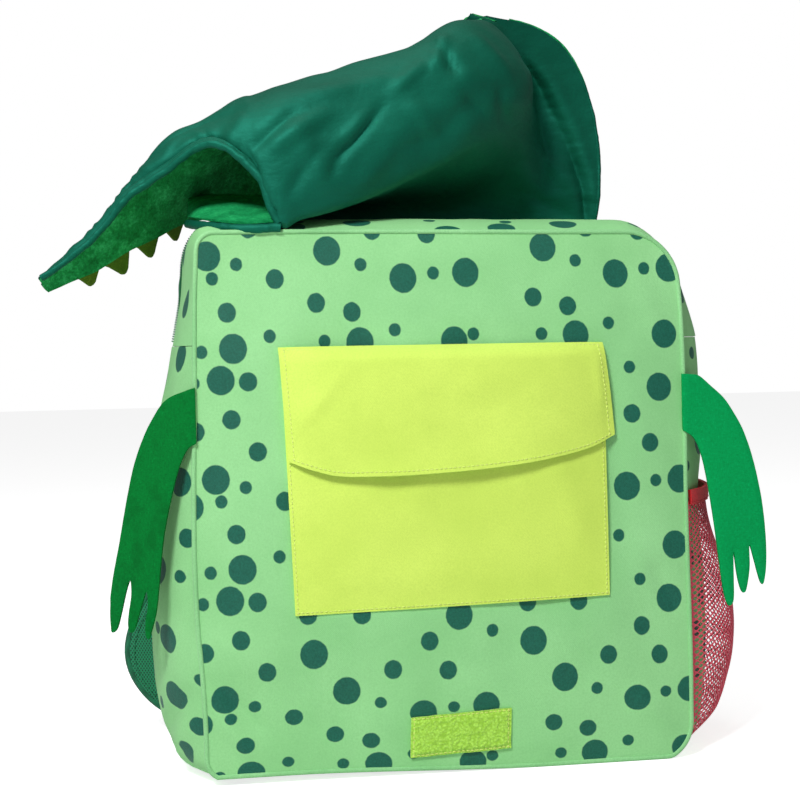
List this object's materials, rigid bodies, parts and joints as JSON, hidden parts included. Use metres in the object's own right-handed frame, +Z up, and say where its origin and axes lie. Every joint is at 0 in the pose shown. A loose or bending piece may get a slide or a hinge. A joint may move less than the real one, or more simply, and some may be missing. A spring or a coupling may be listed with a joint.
{
  "type": "kids animal backpack",
  "caption": "Small zip backpack shaped as a friendly reptile, with a front pocket, felt arms, a side net pocket, shoulder straps and a soft toothed head flap folded over its top.",
  "frame": {"origin": "centre of the bag's base, where it stands on the floor", "axes": "+Z up, front pocket towards -Y, shoulder straps towards +Y, +X at the viewer's right"},
  "size_m": [0.4322, 0.1778, 0.4674],
  "materials": {
    "printed_green": "woven polyester, light green with dark green printed dots",
    "lime_cloth": "woven polyester, yellow green",
    "lime_pile": "looped pile tape",
    "green_felt": "felt",
    "plush": "short plush",
    "nylon": "thin satin nylon lining",
    "olive_felt": "felt",
    "red_net": "open knitted net",
    "red_binding": "elastic binding",
    "teal_cloth": "woven polyester over foam",
    "zip_plastic": "moulded",
    "zip_metal": "nickel plated"
  },
  "bodies": {
    "bag": {"front_panel": "printed_green", "back_panel": "teal_cloth", "lower_gusset": "printed_green", "top_gusset_front": "printed_green", "top_gusset_back": "printed_green", "zip_tape": "zip_plastic", "zip_coil": "zip_plastic", "zip_slider": "zip_metal", "front_pocket": "lime_cloth", "pocket_flap": "lime_cloth", "closure_patch": "lime_pile", "left_arm": "green_felt", "right_arm": "green_felt", "mesh_pocket": "red_net", "mesh_binding": "red_binding", "head_outer": "plush", "head_lining": "nylon", "tooth_1": "olive_felt", "tooth_2": "olive_felt", "tooth_3": "olive_felt", "tooth_4": "olive_felt", "shoulder_strap_left": "teal_cloth", "shoulder_strap_right": "teal_cloth", "strap_adjuster_left": "zip_plastic", "strap_adjuster_right": "zip_plastic", "lower_webbing_left": "teal_cloth", "lower_webbing_right": "teal_cloth", "hang_loop": "teal_cloth"},
    "pull": {"zip_pull": "zip_metal"}
  },
  "joints": [
    {"name": "zip_pull_swing", "type": "hinge", "parent": "bag", "child": "pull", "pos_m": [0.16352, 0.01704, 0.26368], "axis": [0, -1, 0], "range_deg": [0, 150]}
  ]
}
